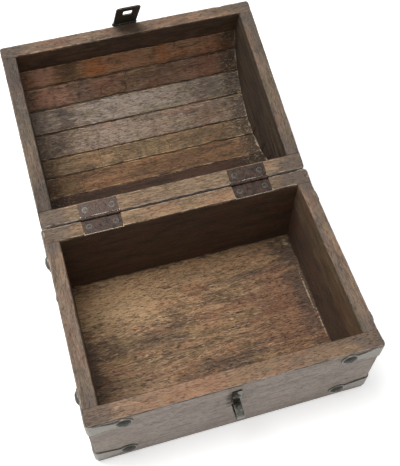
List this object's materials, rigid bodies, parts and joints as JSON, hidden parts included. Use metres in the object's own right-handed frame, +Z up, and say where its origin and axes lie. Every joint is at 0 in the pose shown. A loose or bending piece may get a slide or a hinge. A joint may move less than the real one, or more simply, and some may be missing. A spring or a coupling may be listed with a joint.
{
  "type": "dome-lidded wooden chest",
  "caption": "Small butt-jointed wooden chest with a coopered barrel lid on two butt hinges, iron corner straps with domed studs, and a swinging hasp over a staple.",
  "frame": {"origin": "centre of the box's footprint, on the surface that it stands on", "axes": "+X along the box to its right end, seen from the front; the front board faces -Y and the hinges are at the back, +Y; +Z up. The rest pose has the lid thrown open."},
  "size_m": [0.2714, 0.4049, 0.1951],
  "materials": {
    "box_wood": "worn brown timber, greyed outside, bare and dusty",
    "floor_wood": "stained golden-brown board, unfinished",
    "lid_wood": "dark aged timber with worn edges",
    "stave_wood": "aged staves of mixed browns with bright worn edges",
    "strap_iron": "dull grey hand-cut sheet iron",
    "stud_iron": "dark domed studs, rubbed lighter",
    "nail_iron": "dark rusted nails",
    "hinge_iron": "browned iron with rubbed bright edges",
    "hasp_iron": "dark brown-black iron, satin where handled"
  },
  "bodies": {
    "box": {"back_board": "box_wood", "back_strap_nails": "stud_iron", "corner_nails": "nail_iron", "floor_board": "floor_wood", "floor_nails": "nail_iron", "front_board": "box_wood", "hinge_box_screws": "hinge_iron", "hinge_left_box_leaf": "hinge_iron", "hinge_left_pin": "hinge_iron", "hinge_right_box_leaf": "hinge_iron", "hinge_right_pin": "hinge_iron", "left_board": "box_wood", "lower_back_left_strap": "strap_iron", "lower_back_right_strap": "strap_iron", "lower_front_left_strap": "strap_iron", "lower_front_right_strap": "strap_iron", "right_board": "box_wood", "staple": "hasp_iron", "staple_screw": "hasp_iron", "strap_studs": "stud_iron", "upper_back_left_strap": "strap_iron", "upper_back_right_strap": "strap_iron", "upper_front_left_strap": "strap_iron", "upper_front_right_strap": "strap_iron"},
    "lid": {"hasp_plate": "hasp_iron", "hasp_plate_screws": "hasp_iron", "hinge_left_lid_leaf": "hinge_iron", "hinge_lid_screws": "hinge_iron", "hinge_right_lid_leaf": "hinge_iron", "lid_back_rail": "lid_wood", "lid_front_rail": "lid_wood", "lid_left_end": "lid_wood", "lid_right_end": "lid_wood", "rail_nails": "nail_iron", "stave_1": "stave_wood", "stave_2": "stave_wood", "stave_3": "stave_wood", "stave_4": "stave_wood", "stave_5": "stave_wood", "stave_6": "stave_wood", "stave_7": "stave_wood", "stave_8": "stave_wood", "stave_9": "stave_wood", "stave_nails": "nail_iron", "hasp_pin": "hasp_iron"},
    "hasp": {"hasp_leaf": "hasp_iron"}
  },
  "joints": [
    {"name": "lid_hinge", "type": "hinge", "parent": "box", "child": "lid", "pos_m": [0, 0.0975, 0.0984], "axis": [1, 0, 0], "range_deg": [0, 165.35]},
    {"name": "hasp_swing", "type": "hinge", "parent": "lid", "child": "hasp", "pos_m": [-0.002, 0.28848, 0.14636], "axis": [-1, 0, 0], "range_deg": [0, 39.4]}
  ],
  "couplings": [
    {"joint": "hasp_swing", "follows": "lid_hinge", "ratio": 0.23768}
  ]
}
